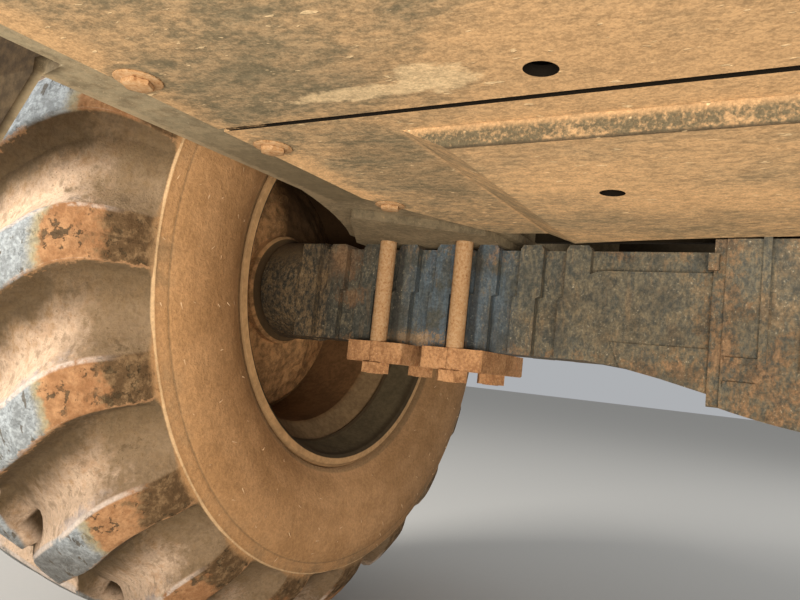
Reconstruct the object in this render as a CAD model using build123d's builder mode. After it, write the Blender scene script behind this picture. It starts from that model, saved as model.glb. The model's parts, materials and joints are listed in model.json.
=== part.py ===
from build123d import *
from collections import namedtuple
from math import cos, radians, sin
import os

# Rigid drive axle with its two wheels, clamped under the rear underframe of a
# swivel site dumper. Millimetres, X across the machine, Y towards its front,
# Z up. The origin is on the top of the cross member above the axle.

os.makedirs("parts", exist_ok=True)

# Wheels
half_track = 985          # wheel centre plane from the middle of the machine
tyre_radius = 588         # out to the lugs' tips at the crown
tyre_half_width = 250
widest_drop = 178         # widest ring of the sidewall, below the tips
ring_drop = 125           # ring that ends the lugs at the shoulder
ring_inset = 15           # inside the widest point
lug_count = 19            # on each half of the tread
lug_phase = -1.0          # first lug above the level of the hub, in degrees
nose_gap = 6              # lugs' inner ends from the tyre's centre plane
bead_radius = 286
rim_half_width = 203      # between the inside faces of the rim flanges
rim_flange_thick = 12
rim_flange_height = 14
rim_wall = 7
ledge_half_width = 150    # where the bead seats end and the well's slopes start
ledge_drop = 14
well_half_width = 115
well_depth = 44
disc_thick = 14
disc_offset = 10          # inner face of the disc outboard of the wheel centre
disc_dish = 12
disc_flat = 208           # radius of the flat part of the disc
weld_leg = 9
pilot_radius = 140
hub_flange_radius = 185
hub_flange_thick = 22
hub_drum_radius = 100
hub_cap_reach = 122       # outer end of the hub from the wheel centre plane
hub_cap_step = 20
hub_cap_radius = 100
spindle_radius = 60
spindle_tip = 15          # spindle end outboard of the wheel centre
carrier_radius = 88
carrier_end = 60          # carrier's outer face inboard of the wheel centre
running_gap = 5           # between parts that turn and parts that do not
seat_gap = 0.3            # between round faces that sit in one another

# Axle beam
pad_height = 73           # machined pads above the hub line
pad_step = 6              # pads above the hollows between them
beam_middle = -18         # middle of the beam and its clamps, behind the hub line
beam_half_depth = 44      # half of the beam front to back, in the hollows
beam_drop = 84            # underside of the beam below the hub line
rib_proud = 14
rib_width = 34
rib_pitch = 67
rib_first = 368.5         # innermost rib from the middle of the machine
rib_count = 7
rib_shift = 7             # lower half of each rib, outboard of its upper half
beam_end = 846
end_flange = 36
arm_flange_x = 183        # joint between an arm and the centre casting
arm_flange_thick = 14
arm_flange_proud = 10
arm_drop = 112            # underside of the arm at its flange
arm_lug = 21              # square cast lug on the flange's rear
arm_lug_rise = 50
arm_body_end = 378        # raised body of the arm, from its flange outwards
arm_body_top = 38
arm_body_corner = 48
arm_ledge_drop = 57
arm_ledge_end = 318
centre_drop = 127         # underside of the centre casting at its flange
centre_belly = 150        # the same in the middle
centre_top = 79
centre_back = 90
centre_front = 105
centre_ridge = 139        # upright ridges of the casting, from the middle
nose_radius = 118
nose_flange_thick = 16
nose_neck_radius = 62
nose_length = 150
input_flange_radius = 60
input_flange_thick = 12
input_pcd = 101.5
input_hole_radius = 5
input_hole_count = 8

# Clamping
stud_radius = 13
stud_hole_gap = 1
stud_reach = 74           # front and rear studs from the beam's middle
stud_spacing = 131        # two clamps a side
clamp_offset = 19         # middle between the clamps, outboard of the web
clamp_width = 98
clamp_reach = 87
clamp_thick = 32
nut_flats = 41
nut_height = 16
stud_end = 1              # thread standing out of each nut

# Underframe
seat_plate = 12
flange_plate = 12
rail_height = 248
web_plate = 12
web_outer = 581
flange_inboard = 111      # flange's inner edge from the web's outer face
flange_outboard = 59
flange_narrow = 20        # flange's outer edge behind the stay plates
seat_inboard = 97         # seat's inner edge from the web's outer face
seat_outboard = 147
seat_corner_outboard = 48
seat_waist = 137          # front and rear ends of the seat's inner edge
seat_corner = 257         # front and rear corners of the seat
seat_side = 90            # half length of its outer edge
flare_outboard = 161      # flange's outer edge at the axle
flare_start = 350
flare_middle = 235
frame_rear = 870
frame_front = 606
rear_plate = 14
front_plate = 20
cross_half_depth = 70
cross_wall = 12
cross_walls_reach = 50    # walls' outer faces from the beam's middle, between the nuts
stay_rear = 698           # wing stays, on the ends of the wide flange
stay_plate = 8
stay_reach = 880
stay_top = 150            # above the flange's underside
stay_drop = 80
stay_slope = 66
stay_hole_radius = 16
belly_sheet = 8
belly_edge_inboard = 19   # belly plates' side edges from the web's outer face
belly_rear = 868
slit_rear = 570
slit_front = 563
belly_corner_side = 330   # where the front plate's side edge starts to run in
belly_corner_run = 76
belly_corner_end = 168
belly_tongue_run = 104
belly_front = 133
pan_half_width = 395
pan_slope = 43
pan_depth = 18
pan_rear = 528
pan_front = 155
pan_front_middle = 200    # its front edge is bowed round the axle's centre
drain_radius = 11.5
drain_rear = (250, 606)
drain_front = (255, 381)
lug_plate = 30
lug_upper_drop = 40       # top of the upper pivot lug below the frame's top
lug_lower_drop = 200
lug_foot = 220
lug_eye = 75
pivot_reach = 154         # pivot's line from the front cross plate
pivot_radius = 32.5
gusset_plate = 12
gusset_x = 150
gusset_reach = 60

# Levels and places, from the sizes above
hub_z = -(pad_height + seat_plate + rail_height)
pad_z = hub_z + pad_height
flange_z = pad_z + seat_plate
web_z = flange_z + flange_plate
web_top = -flange_plate
belly_z = flange_z - belly_sheet
pan_z = belly_z - pan_depth
clamp_top = hub_z - beam_drop
clamp_bottom = clamp_top - clamp_thick
hub_inner = carrier_end - running_gap
stud_hole_radius = stud_radius + stud_hole_gap
clamp_middle = web_outer + clamp_offset
rail_outer = web_outer + flange_outboard
rail_inner = web_outer - flange_inboard
web_inner = web_outer - web_plate
belly_half_width = web_outer - belly_edge_inboard
rim_flange_radius = bead_radius + rim_flange_height
lip = rim_half_width + rim_flange_thick
ledge_radius = bead_radius - ledge_drop
well_radius = bead_radius - well_depth
rib_depth = beam_half_depth + rib_proud
ring_reach = tyre_half_width - ring_inset
ring_radius = tyre_radius - ring_drop
pivot_y = frame_front + pivot_reach

# Tread, from the lugs' noses to the ring at the shoulder: share of the way, carcass
# below the tyre's radius, lug height, the lug's turn about the hub and its width in degrees
TreadRow = namedtuple("TreadRow", "share carcass height turn width")
tread = (
    TreadRow(0.00, 33, 33, -11.6, 7.2),
    TreadRow(0.46, 37, 33, -4.3, 7.2),
    TreadRow(0.75, 62, 18, -1.2, 6.8),
    TreadRow(1.00, 126, 1, 0.0, 6.2),
)

sides = (("left", -1), ("right", 1))
clamps = (("outer", clamp_middle + stud_spacing / 2), ("inner", clamp_middle - stud_spacing / 2))


def finish(piece, name):
    piece.part.label = name
    export_step(piece.part, f"parts/{name}.step")


def wheel_section(sx):
    # Section plane through a wheel: x outboard from the wheel centre, y the radius
    return Plane(origin=(sx * half_track, 0, hub_z), x_dir=(sx, 0, 0), z_dir=(0, -sx, 0))


def wheel_slice(sx, reach):
    # Slice across a wheel, square to the axle: x rearwards, y up
    return Plane(origin=(sx * (half_track + reach), 0, hub_z), x_dir=(0, -1, 0), z_dir=(-1, 0, 0))


def axle_line(sx):
    return Axis((sx * half_track, 0, hub_z), (1, 0, 0))


def polar(radius, angle):
    return (radius * cos(radians(angle)), radius * sin(radians(angle)))


def toothed_ring(half, radius, height, row, phase):
    # Ring across the tread: the two foot points and two tip points of each lug, then the next lug.
    # The other half starts between two lugs, so that its points face those of this half.
    corners = ((0, -0.5), (height, -0.42), (height, 0.42), (0, 0.5))
    points = [polar(radius + rise, phase + row.turn + n * 360 / lug_count + side * row.width)
              for n in range(lug_count) for rise, side in corners]
    return points[-2:] + points[:-2] if half > 0 else points


def even_ring(radius):
    # Ring of even points whose flats stay clear of a round seat of this radius
    count = 4 * lug_count
    return [polar(radius / cos(radians(180 / count)), lug_phase + (n - 1.5) * 360 / count) for n in range(count)]


def facet_body(rings):
    # Closed body through rings of equally many points, the last ring joined to the first
    facets = []
    for ring, following in zip(rings, rings[1:] + rings[:1]):
        for n, point in enumerate(ring):
            after, beside = (n + 1) % len(ring), following[n]
            facets.append(Face(Wire.make_polygon([point, ring[after], beside])))
            facets.append(Face(Wire.make_polygon([ring[after], following[after], beside])))
    return Solid(Shell(facets))


def stud_places(sx, names=("outer", "inner")):
    return [(sx * x, y) for name, x in clamps if name in names for y in (beam_middle - stud_reach, beam_middle + stud_reach)]


def both_ways(half):
    # Closed outline from its points with x above zero, mirrored to x below zero
    return half + [(-x, y) for x, y in reversed(half)]


# Wheels
for side, sx in sides:
    # Tyre: rings of points from bead to bead over the tread, joined by flat facets
    with BuildPart() as tyre:
        rings = []
        for half in (-1, 1):
            phase = lug_phase + (180 / lug_count if half > 0 else 0)
            half_rings = [(nose_gap / 3, toothed_ring(half, tyre_radius - tread[0].carcass, 0, tread[0], phase))]
            for row in tread:
                reach = nose_gap + row.share * (ring_reach - nose_gap)
                half_rings.append((reach, toothed_ring(half, tyre_radius - row.carcass, row.height, row, phase)))
            half_rings += [
                (tyre_half_width, toothed_ring(half, tyre_radius - widest_drop, 0, tread[-1], phase)),
                (lip + 2, even_ring(rim_flange_radius + 3)),
                (rim_half_width, even_ring(rim_flange_radius + seat_gap)),
                (rim_half_width, even_ring(bead_radius + seat_gap))]
            placed = [[Vector(sx * (half_track + half * reach), -y, hub_z + z) for y, z in ring]
                      for reach, ring in half_rings]
            rings += placed[::-1] if half < 0 else placed
        add(facet_body(rings))
    finish(tyre, f"tyre_{side}")

    # Rim: bead seats with a ledge and a deep well, and the dished disc, in one welding
    with BuildPart() as rim:
        with BuildSketch(wheel_section(sx)):
            rim_edge = [
                (lip, rim_flange_radius - 6), (lip - 6, rim_flange_radius), (rim_half_width, rim_flange_radius - 4),
                (rim_half_width, bead_radius), (ledge_half_width, ledge_radius), (well_half_width, well_radius)]
            rim_inside = [
                (lip, bead_radius - 2), (lip - 4, bead_radius - rim_wall),
                (ledge_half_width + 6, ledge_radius - rim_wall), (ledge_half_width, ledge_radius - rim_wall - 4),
                (ledge_half_width - 6, ledge_radius - rim_wall - 2), (well_half_width - 4, well_radius - rim_wall)]
            with BuildLine():
                Polyline(rim_edge + [(-x, r) for x, r in reversed(rim_edge)] + [(-x, r) for x, r in rim_inside]
                         + list(reversed(rim_inside)), close=True)
            make_face()
            disc_edge = disc_offset + disc_dish
            with BuildLine():
                Polyline(
                    (disc_offset, pilot_radius + seat_gap), (disc_offset + disc_thick, pilot_radius + seat_gap),
                    (disc_offset + disc_thick, disc_flat - 4), (disc_edge + disc_thick, well_radius - rim_wall / 2),
                    (disc_edge - weld_leg, well_radius - rim_wall / 2), (disc_edge - weld_leg, well_radius - rim_wall),
                    (disc_edge, well_radius - rim_wall - weld_leg), (disc_offset, disc_flat), close=True)
            make_face()
        revolve(axis=axle_line(sx))
    finish(rim, f"rim_{side}")

    # Hub: turns on the spindle and carries the disc on its flange
    with BuildPart() as hub:
        with BuildSketch(wheel_section(sx)):
            flange_back = disc_offset - hub_flange_thick
            cap_start = disc_offset + disc_thick + 6
            with BuildLine():
                Polyline(
                    (-hub_inner, spindle_radius + seat_gap), (-hub_inner, hub_drum_radius - 6),
                    (-hub_inner + 6, hub_drum_radius), (flange_back, hub_drum_radius),
                    (flange_back, hub_flange_radius), (disc_offset, hub_flange_radius), (disc_offset, pilot_radius),
                    (cap_start, pilot_radius), (cap_start, pilot_radius - 8),
                    (hub_cap_reach - hub_cap_step, pilot_radius - 14), (hub_cap_reach - 6, hub_cap_radius),
                    (hub_cap_reach, hub_cap_radius / 2), (hub_cap_reach, 0), (spindle_tip + running_gap, 0),
                    (spindle_tip + running_gap, spindle_radius + seat_gap), close=True)
            make_face()
        revolve(axis=axle_line(sx))
    finish(hub, f"hub_{side}")

    # Carrier: the round end of the axle, with the spindle that the hub turns on
    with BuildPart() as carrier:
        inner = half_track - beam_end
        with BuildSketch(wheel_section(sx)):
            with BuildLine():
                Polyline(
                    (-inner, 0), (-inner, carrier_radius), (-carrier_end - 5, carrier_radius),
                    (-carrier_end, carrier_radius - 5), (-carrier_end, spindle_radius),
                    (spindle_tip, spindle_radius), (spindle_tip, 0), close=True)
            make_face()
        revolve(axis=axle_line(sx))
    finish(carrier, f"hub_carrier_{side}")

# Axle: two ribbed arms bolted to the centre casting
for side, sx in sides:
    with BuildPart() as arm:
        arm_inner = arm_flange_x + arm_flange_thick
        beam_top = hub_z + pad_height - pad_step
        beam_bottom = hub_z - beam_drop
        arm_underside = [
            (sx * 353, beam_bottom), (sx * 303, beam_bottom - 5), (sx * 252, beam_bottom - 15),
            (sx * arm_inner, hub_z - arm_drop)]
        # Core, as deep as the hollows between the ribs
        with BuildSketch(Plane.XZ.offset(-beam_middle - beam_half_depth)):
            with BuildLine():
                Polyline([(sx * arm_inner, beam_top), (sx * beam_end, beam_top), (sx * beam_end, beam_bottom)]
                         + arm_underside, close=True)
            make_face()
        extrude(amount=2 * beam_half_depth)
        # Raised body beside the centre, with the recess along its top and the ledge below
        with BuildSketch(Plane.XZ.offset(-beam_middle - rib_depth)):
            with BuildLine():
                corner_x = sx * (arm_body_end - arm_body_corner)
                corner_z = hub_z + arm_body_top - arm_body_corner
                diagonal = arm_body_corner * cos(radians(45))
                Line((sx * arm_inner, hub_z + arm_body_top), (corner_x, hub_z + arm_body_top))
                ThreePointArc((corner_x, hub_z + arm_body_top), (corner_x + sx * diagonal, corner_z + diagonal),
                              (sx * arm_body_end, corner_z))
                Polyline([(sx * arm_body_end, corner_z), (sx * arm_body_end, beam_bottom)] + arm_underside
                         + [(sx * arm_inner, hub_z + arm_body_top)])
            make_face()
        extrude(amount=2 * rib_depth)
        with BuildSketch(Plane.XZ.offset(-beam_middle - rib_depth - 4)):
            with BuildLine():
                Polyline([(sx * arm_inner, hub_z - arm_ledge_drop), (sx * arm_ledge_end, hub_z - arm_ledge_drop)]
                         + arm_underside[1:], close=True)
            make_face()
        extrude(amount=2 * (rib_depth + 4))
        # Ribs: upper and lower halves meet at mid height with a small sideways step
        for n in range(rib_count):
            rib_x = rib_first + n * rib_pitch
            with BuildSketch(Plane.XZ.offset(-beam_middle - rib_depth)):
                with BuildLine():
                    Polyline([(sx * (rib_x + x), hub_z + z) for x, z in (
                        (-rib_width / 2 + 4, pad_height), (rib_width / 2 - 4, pad_height),
                        (rib_width / 2, pad_height - pad_step), (rib_width / 2, 0),
                        (rib_width / 2 + rib_shift, -3), (rib_width / 2 + rib_shift, -beam_drop),
                        (-rib_width / 2 + rib_shift, -beam_drop), (-rib_width / 2 + rib_shift, -3),
                        (-rib_width / 2, 0), (-rib_width / 2, pad_height - pad_step))], close=True)
                make_face()
            extrude(amount=2 * rib_depth)
        with Locations((sx * (beam_end - end_flange / 2), beam_middle, hub_z + (pad_height - beam_drop) / 2)):
            Box(end_flange, 2 * rib_depth, pad_height + beam_drop)
        flange_middle = hub_z + (centre_top - centre_drop) / 2
        with Locations((sx * (arm_flange_x + arm_flange_thick / 2), beam_middle, flange_middle)):
            Box(arm_flange_thick, 2 * (rib_depth + arm_flange_proud), centre_top + centre_drop)
        flange_rear = beam_middle - rib_depth - arm_flange_proud
        with Locations((sx * (arm_flange_x + arm_flange_thick), flange_rear, hub_z + arm_lug_rise)):
            Box(12, 16, arm_lug)
        chamfer(arm.edges().filter_by(Axis.X).group_by(Axis.Z)[0], 3)
    finish(arm, f"axle_arm_{side}")

with BuildPart() as axle_centre:
    with BuildSketch(Plane.XZ.offset(centre_back)):
        with BuildLine():
            Polyline(
                (-arm_flange_x, hub_z - centre_drop), (-arm_flange_x, hub_z + centre_top),
                (arm_flange_x, hub_z + centre_top), (arm_flange_x, hub_z - centre_drop))
            ThreePointArc((arm_flange_x, hub_z - centre_drop), (0, hub_z - centre_belly),
                          (-arm_flange_x, hub_z - centre_drop))
        make_face()
    extrude(amount=-(centre_back + centre_front))
    # Cast ridges and ledges on the rear face
    with BuildSketch(Plane.XZ.offset(centre_back)):
        with Locations([(s * x, hub_z + centre_top / 2 - 30) for s in (-1, 1) for x in (centre_ridge, 96, 48)]):
            Rectangle(9, centre_top + 96)
        with Locations([(s * (centre_ridge + arm_flange_x) / 2, hub_z - z) for s in (-1, 1) for z in (69, 98)]):
            Rectangle(arm_flange_x - centre_ridge - 8, 7)
    extrude(amount=5)
finish(axle_centre, "axle_centre")

with BuildPart() as pinion_nose:
    with BuildSketch(Plane.YZ.offset(0)):
        with BuildLine():
            nose_end = centre_front + nose_length
            Polyline(
                (centre_front, hub_z), (centre_front, hub_z + nose_radius),
                (centre_front + nose_flange_thick, hub_z + nose_radius),
                (centre_front + nose_flange_thick + 24, hub_z + nose_neck_radius + 16),
                (nose_end, hub_z + nose_neck_radius - 14), (nose_end, hub_z), close=True)
        make_face()
    revolve(axis=Axis((0, 0, hub_z), (0, 1, 0)))
finish(pinion_nose, "pinion_nose")

with BuildPart() as input_flange:
    with BuildSketch(Plane.XZ.offset(-(centre_front + nose_length))):
        with Locations((0, hub_z)):
            Circle(input_flange_radius)
        with Locations((0, hub_z)):
            with PolarLocations(input_pcd / 2, input_hole_count):
                Circle(input_hole_radius, mode=Mode.SUBTRACT)
    extrude(amount=-input_flange_thick)
finish(input_flange, "input_flange")

# Clamping: four plates under the beam, eight studs with a nut at each end
for side, sx in sides:
    for clamp_name, clamp_x in clamps:
        with BuildPart() as clamp_plate:
            with BuildSketch(Plane.XY.offset(clamp_bottom)):
                with Locations((sx * clamp_x, beam_middle)):
                    RectangleRounded(clamp_width, 2 * clamp_reach, 5)
                with Locations(stud_places(sx, (clamp_name,))):
                    Circle(stud_hole_radius, mode=Mode.SUBTRACT)
            extrude(amount=clamp_thick)
            chamfer(clamp_plate.faces().sort_by(Axis.Z)[0].outer_wire().edges(), 2)
        finish(clamp_plate, f"clamp_plate_{clamp_name}_{side}")

    with BuildPart() as studs:
        stud_bottom = clamp_bottom - nut_height - stud_end
        stud_top = web_z + nut_height + stud_end
        with BuildSketch(Plane.XY.offset(stud_bottom)):
            with Locations(stud_places(sx)):
                Circle(stud_radius)
        extrude(amount=stud_top - stud_bottom)
        for nut_z in (clamp_bottom - nut_height, web_z):
            with BuildSketch(Plane.XY.offset(nut_z)):
                with Locations(stud_places(sx)):
                    RegularPolygon(nut_flats / 2, 6, major_radius=False)
            extrude(amount=nut_height)
    finish(studs, f"clamp_studs_{side}")

# Underframe rails: a channel with a wide bottom flange that flares at the axle
rail_length = frame_front + frame_rear
rail_middle = (frame_front - frame_rear) / 2
for side, sx in sides:
    with BuildPart() as rail:
        with BuildSketch(Plane.XY.offset(flange_z)):
            with BuildLine():
                flare_x = web_outer + flare_outboard
                flare_mid_x = rail_outer + 0.35 * (flare_x - rail_outer)
                narrow_x = web_outer + flange_narrow
                ThreePointArc((sx * rail_outer, -flare_start), (sx * flare_mid_x, -flare_middle),
                              (sx * flare_x, -seat_side))
                Line((sx * flare_x, -seat_side), (sx * flare_x, seat_side))
                ThreePointArc((sx * flare_x, seat_side), (sx * flare_mid_x, flare_middle),
                              (sx * rail_outer, flare_start))
                Polyline((sx * rail_outer, flare_start), (sx * rail_outer, frame_front),
                         (sx * rail_inner, frame_front), (sx * rail_inner, -frame_rear),
                         (sx * narrow_x, -frame_rear), (sx * narrow_x, -stay_rear),
                         (sx * rail_outer, -stay_rear + stay_plate), (sx * rail_outer, -flare_start))
            make_face()
            with Locations(stud_places(sx)):
                Circle(stud_hole_radius, mode=Mode.SUBTRACT)
        extrude(amount=flange_plate)
        with Locations((sx * (web_outer - web_plate / 2), rail_middle, (web_z + web_top) / 2)):
            Box(web_plate, rail_length, web_top - web_z)
        with Locations((sx * (rail_outer + rail_inner) / 2, rail_middle, -flange_plate / 2)):
            Box(rail_outer - rail_inner, rail_length, flange_plate)
    finish(rail, f"rail_{side}")

    # Seat: the plate between the rail's flange and the pads of the axle
    with BuildPart() as seat:
        with BuildSketch(Plane.XY.offset(pad_z)):
            with BuildLine():
                seat_half = [
                    (sx * (web_outer - seat_inboard), seat_waist),
                    (sx * (web_outer + seat_corner_outboard), seat_corner),
                    (sx * (web_outer + seat_outboard), seat_side)]
                Polyline(seat_half + [(x, -y) for x, y in reversed(seat_half)], close=True)
            make_face()
            with Locations(stud_places(sx)):
                Circle(stud_hole_radius, mode=Mode.SUBTRACT)
        extrude(amount=seat_plate)
        fillet(seat.edges().filter_by(Axis.Z).filter_by(lambda e: abs(e.center().Y) > seat_waist + 20), 8)
    finish(seat, f"axle_seat_{side}")

    # Wing stay: an upright plate on the end of the wide flange, behind the wheel
    with BuildPart() as stay:
        with BuildSketch(Plane.XZ.offset(stay_rear - stay_plate)):
            with BuildLine():
                stay_tip = flange_z - stay_drop
                Polyline(
                    (sx * web_outer, web_z), (sx * rail_outer, web_z), (sx * rail_outer, flange_z),
                    (sx * (rail_outer + stay_slope), stay_tip), (sx * stay_reach, stay_tip),
                    (sx * stay_reach, flange_z + stay_top / 2), (sx * rail_outer, flange_z + stay_top),
                    (sx * web_outer, flange_z + stay_top), close=True)
            make_face()
            with Locations((sx * (rail_outer + stay_reach) / 2, flange_z + stay_top / 6)):
                Circle(stay_hole_radius, mode=Mode.SUBTRACT)
        extrude(amount=stay_plate)
    finish(stay, f"wing_stay_{side}")

# Cross plates
with BuildPart() as rear_cross_plate:
    with Locations((0, -frame_rear + rear_plate / 2, (web_z + web_top) / 2)):
        Box(2 * web_inner, rear_plate, web_top - web_z)
finish(rear_cross_plate, "rear_cross_plate")

with BuildPart() as front_cross_plate:
    with Locations((0, frame_front - front_plate / 2, (web_z + web_top) / 2)):
        Box(2 * web_inner, front_plate, web_top - web_z)
finish(front_cross_plate, "front_cross_plate")

with BuildPart() as axle_cross_member:
    for s in (-1, 1):
        with Locations((0, beam_middle + s * (cross_walls_reach - cross_wall / 2), (web_z + web_top) / 2)):
            Box(2 * web_inner, cross_wall, web_top - web_z)
    with Locations((0, 0, -flange_plate / 2)):
        Box(2 * rail_inner, 2 * cross_half_depth, flange_plate)
finish(axle_cross_member, "axle_cross_member")

# Pivot lugs for the centre joint, with their gussets
lug_levels = (("upper", -lug_upper_drop), ("lower", -lug_lower_drop))
for lug_name, lug_top in lug_levels:
    with BuildPart() as pivot_lug:
        with BuildSketch(Plane.XY.offset(lug_top - lug_plate)):
            with BuildLine():
                Polyline((-lug_eye, pivot_y), (-lug_foot, frame_front), (lug_foot, frame_front), (lug_eye, pivot_y))
                ThreePointArc((lug_eye, pivot_y), (0, pivot_y + lug_eye), (-lug_eye, pivot_y))
            make_face()
            with Locations((0, pivot_y)):
                Circle(pivot_radius, mode=Mode.SUBTRACT)
        extrude(amount=lug_plate)
    finish(pivot_lug, f"pivot_lug_{lug_name}")

with BuildPart() as lug_gussets:
    for sx in (-1, 1):
        with BuildSketch(Plane.YZ.offset(sx * gusset_x - gusset_plate / 2)):
            for gusset_z, gusset_tip in ((-lug_upper_drop - lug_plate, -gusset_reach), (-lug_lower_drop, gusset_reach)):
                with BuildLine():
                    Polyline((frame_front, gusset_z), (frame_front + gusset_reach, gusset_z),
                             (frame_front, gusset_z + gusset_tip), close=True)
                make_face()
        extrude(amount=gusset_plate)
finish(lug_gussets, "pivot_lug_gussets")

# Belly plates, bolted up against the rails' flanges
with BuildPart() as belly_plate_rear:
    with BuildSketch(Plane.XY.offset(belly_z)):
        with Locations((0, -(belly_rear + slit_rear) / 2)):
            Rectangle(2 * belly_half_width, belly_rear - slit_rear)
        with Locations([(s * drain_rear[0], -drain_rear[1]) for s in (-1, 1)]):
            Circle(drain_radius, mode=Mode.SUBTRACT)
    extrude(amount=belly_sheet)
finish(belly_plate_rear, "belly_plate_rear")

with BuildPart() as belly_plate_front:
    with BuildSketch(Plane.XY.offset(belly_z)):
        with BuildLine():
            Polyline(both_ways([
                (belly_half_width, -slit_front), (belly_half_width, -belly_corner_side),
                (belly_half_width - belly_corner_run, -belly_corner_end),
                (belly_half_width - belly_tongue_run, -belly_front), (pan_half_width, -belly_front),
                (pan_half_width, -pan_rear)]), close=True)
        make_face()
    extrude(amount=belly_sheet)
    # Pan: pressed down by its own depth, with sloping sides and an upright rear wall
    pan_floor = pan_half_width - pan_slope
    with BuildSketch(Plane.XZ.offset(belly_front)):
        with BuildLine():
            Polyline(both_ways([
                (pan_half_width, belly_z), (pan_half_width, belly_z + belly_sheet), (pan_floor, pan_z + belly_sheet)])
                + both_ways([(-pan_floor, pan_z)]) + [(pan_half_width, belly_z)], close=False)
        make_face()
    extrude(amount=pan_rear - belly_front)
    with BuildSketch(Plane.XZ.offset(pan_rear - belly_sheet)):
        with BuildLine():
            Polyline(both_ways([
                (pan_floor, pan_z), (pan_half_width, belly_z), (pan_half_width, belly_z + belly_sheet)]), close=True)
        make_face()
    extrude(amount=belly_sheet)
    # Its front edge is cut back in a bow round the axle's centre
    with BuildSketch(Plane.XY.offset(pan_z)):
        with BuildLine():
            Polyline((pan_floor, -pan_front), (pan_half_width, -belly_front), (-pan_half_width, -belly_front),
                     (-pan_floor, -pan_front))
            ThreePointArc((-pan_floor, -pan_front), (0, -pan_front_middle), (pan_floor, -pan_front))
        make_face()
    extrude(amount=pan_depth + belly_sheet, mode=Mode.SUBTRACT)
    with Locations([(s * drain_front[0], -drain_front[1], pan_z + belly_sheet / 2) for s in (-1, 1)]):
        Cylinder(drain_radius, 4 * belly_sheet, mode=Mode.SUBTRACT)
finish(belly_plate_front, "belly_plate_front")
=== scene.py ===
import json
import math
import random
from functools import reduce

import bmesh
import bpy
import numpy as np
from mathutils import Matrix, Vector, noise


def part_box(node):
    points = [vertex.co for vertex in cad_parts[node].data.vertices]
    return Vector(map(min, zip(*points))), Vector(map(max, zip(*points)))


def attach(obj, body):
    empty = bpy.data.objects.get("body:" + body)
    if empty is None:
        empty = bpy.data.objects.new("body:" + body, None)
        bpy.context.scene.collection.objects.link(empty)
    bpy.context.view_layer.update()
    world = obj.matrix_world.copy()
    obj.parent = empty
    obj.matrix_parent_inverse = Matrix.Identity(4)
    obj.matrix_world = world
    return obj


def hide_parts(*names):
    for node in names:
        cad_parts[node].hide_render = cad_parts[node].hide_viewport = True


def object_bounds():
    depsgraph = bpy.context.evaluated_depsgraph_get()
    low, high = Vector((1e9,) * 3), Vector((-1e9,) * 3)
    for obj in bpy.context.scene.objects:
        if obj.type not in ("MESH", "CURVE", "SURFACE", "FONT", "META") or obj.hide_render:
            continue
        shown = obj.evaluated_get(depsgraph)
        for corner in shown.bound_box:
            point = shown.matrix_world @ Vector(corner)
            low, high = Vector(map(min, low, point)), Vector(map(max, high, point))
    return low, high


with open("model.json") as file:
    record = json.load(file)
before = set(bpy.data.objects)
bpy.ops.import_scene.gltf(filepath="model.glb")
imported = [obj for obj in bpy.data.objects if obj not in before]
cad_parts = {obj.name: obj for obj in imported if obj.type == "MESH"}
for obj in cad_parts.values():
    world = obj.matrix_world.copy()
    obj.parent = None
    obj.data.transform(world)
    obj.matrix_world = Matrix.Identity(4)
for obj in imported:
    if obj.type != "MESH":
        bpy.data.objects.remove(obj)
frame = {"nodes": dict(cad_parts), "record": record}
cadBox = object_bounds()
hubs = {j["child"]: Vector(j["pos_m"]) for j in frame["record"]["behaviour"]["joints"]}
hubZ = hubs["wheel_left"].z
print("frame loaded, CAD box", cadBox)

# Camera under the belly plates, looking forward and to the left along the axle
cameraView = {
    "place": (-0.103, -1.001, -0.4487), "yaw": 30.311, "pitch": 5.343, "roll": 6.074,
    "focalPixels": 688.45, "frameWidth": 800, "filmWidth": 36,
}


def makeCamera(view):
    yaw, pitch, roll = (math.radians(view[k]) for k in ("yaw", "pitch", "roll"))
    forward = Vector((-math.sin(yaw) * math.cos(pitch), math.cos(yaw) * math.cos(pitch), math.sin(pitch)))
    level = Vector((math.cos(yaw), math.sin(yaw), 0))
    upright = level.cross(forward)
    right = level * math.cos(roll) + upright * math.sin(roll)
    up = upright * math.cos(roll) - level * math.sin(roll)
    data = bpy.data.cameras.new("camera")
    data.sensor_width = view["filmWidth"]
    data.lens = view["focalPixels"] / view["frameWidth"] * view["filmWidth"]
    data.clip_start = 0.02
    camera = bpy.data.objects.new("camera", data)
    turn = Matrix((right, up, -forward)).transposed().to_4x4()
    camera.matrix_world = Matrix.Translation(Vector(view["place"])) @ turn
    bpy.context.scene.collection.objects.link(camera)
    bpy.context.scene.camera = camera


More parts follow.
